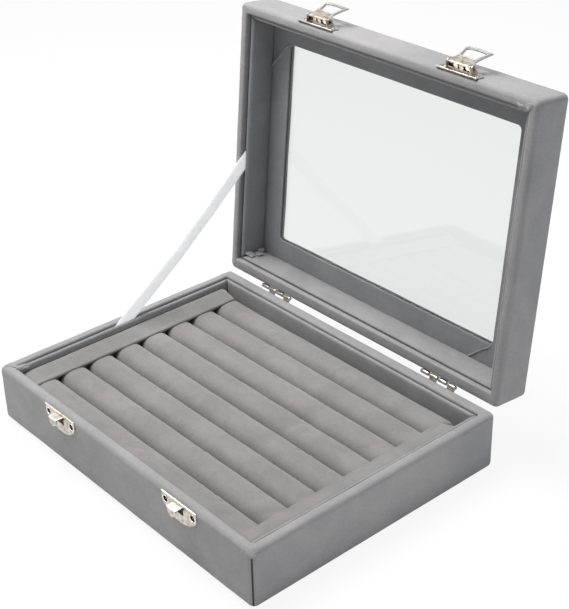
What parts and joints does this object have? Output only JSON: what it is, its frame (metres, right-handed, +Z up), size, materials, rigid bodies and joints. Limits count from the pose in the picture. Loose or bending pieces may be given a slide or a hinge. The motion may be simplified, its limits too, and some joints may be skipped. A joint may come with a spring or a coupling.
{
  "type": "ring display box",
  "caption": "Velvet-covered display box for rings: low tray with padded ring rolls, glazed hinged lid with satin stay ribbon and two front hasps.",
  "frame": {"origin": "centre of the tray's underside", "axes": "+X to the right seen from the front, -Y out of the front, +Z up"},
  "size_m": [0.2, 0.1935, 0.1917],
  "materials": {
    "velvet": "short grey pile",
    "lining_velvet": "short grey pile",
    "roll_velvet": "short grey pile over foam",
    "fibreboard": "raw fibreboard",
    "base_cloth": "flat grey cloth",
    "nickel": "warm nickel plate",
    "glass": "clear",
    "satin": "white satin"
  },
  "bodies": {
    "tray": {"base_sheet": "base_cloth", "tray_floor_board": "fibreboard", "tray_front_board": "fibreboard", "tray_back_board": "fibreboard", "tray_left_board": "fibreboard", "tray_right_board": "fibreboard", "tray_velvet_wrap": "velvet", "tray_front_liner": "lining_velvet", "tray_back_liner": "lining_velvet", "tray_left_liner": "lining_velvet", "tray_right_liner": "lining_velvet", "insert_board": "lining_velvet", "left_end_bar": "lining_velvet", "right_end_bar": "lining_velvet", "left_catch_plate": "nickel", "right_catch_plate": "nickel", "catch_nails": "nickel", "left_hinge_tray_leaf": "nickel", "right_hinge_tray_leaf": "nickel", "left_hinge_pin": "nickel", "right_hinge_pin": "nickel", "hinge_nails_tray": "nickel", "lid_stay_ribbon": "satin", "ring_roll_1": "roll_velvet", "ring_roll_2": "roll_velvet", "ring_roll_3": "roll_velvet", "ring_roll_4": "roll_velvet", "ring_roll_5": "roll_velvet", "ring_roll_6": "roll_velvet", "ring_roll_7": "roll_velvet", "ring_roll_8": "roll_velvet"},
    "lid": {"lid_front_board": "fibreboard", "lid_back_board": "fibreboard", "lid_left_board": "fibreboard", "lid_right_board": "fibreboard", "window_board": "fibreboard", "lid_velvet_wrap": "velvet", "window_glass": "glass", "window_liner": "lining_velvet", "lid_front_liner": "lining_velvet", "lid_back_liner": "lining_velvet", "lid_left_liner": "lining_velvet", "lid_right_liner": "lining_velvet", "left_hinge_lid_leaf": "nickel", "right_hinge_lid_leaf": "nickel", "hinge_nails_lid": "nickel", "left_latch_base": "nickel", "right_latch_base": "nickel", "latch_nails": "nickel", "left_latch_pin": "nickel", "right_latch_pin": "nickel"},
    "left_hasp": {"left_latch_hasp": "nickel"},
    "right_hasp": {"right_latch_hasp": "nickel"}
  },
  "joints": [
    {"name": "lid_hinge", "type": "hinge", "parent": "tray", "child": "lid", "pos_m": [0, 0.0765, 0.0323], "axis": [1, 0, 0], "range_deg": [0, 95.65], "deforming": ["lid_stay_ribbon"]},
    {"name": "left_hasp_hinge", "type": "hinge", "parent": "lid", "child": "left_hasp", "pos_m": [-0.0432, 0.0949, 0.18684], "axis": [1, 0, 0], "range_deg": [0, 160]},
    {"name": "right_hasp_hinge", "type": "hinge", "parent": "lid", "child": "right_hasp", "pos_m": [0.0512, 0.0949, 0.18684], "axis": [1, 0, 0], "range_deg": [0, 160]}
  ]
}
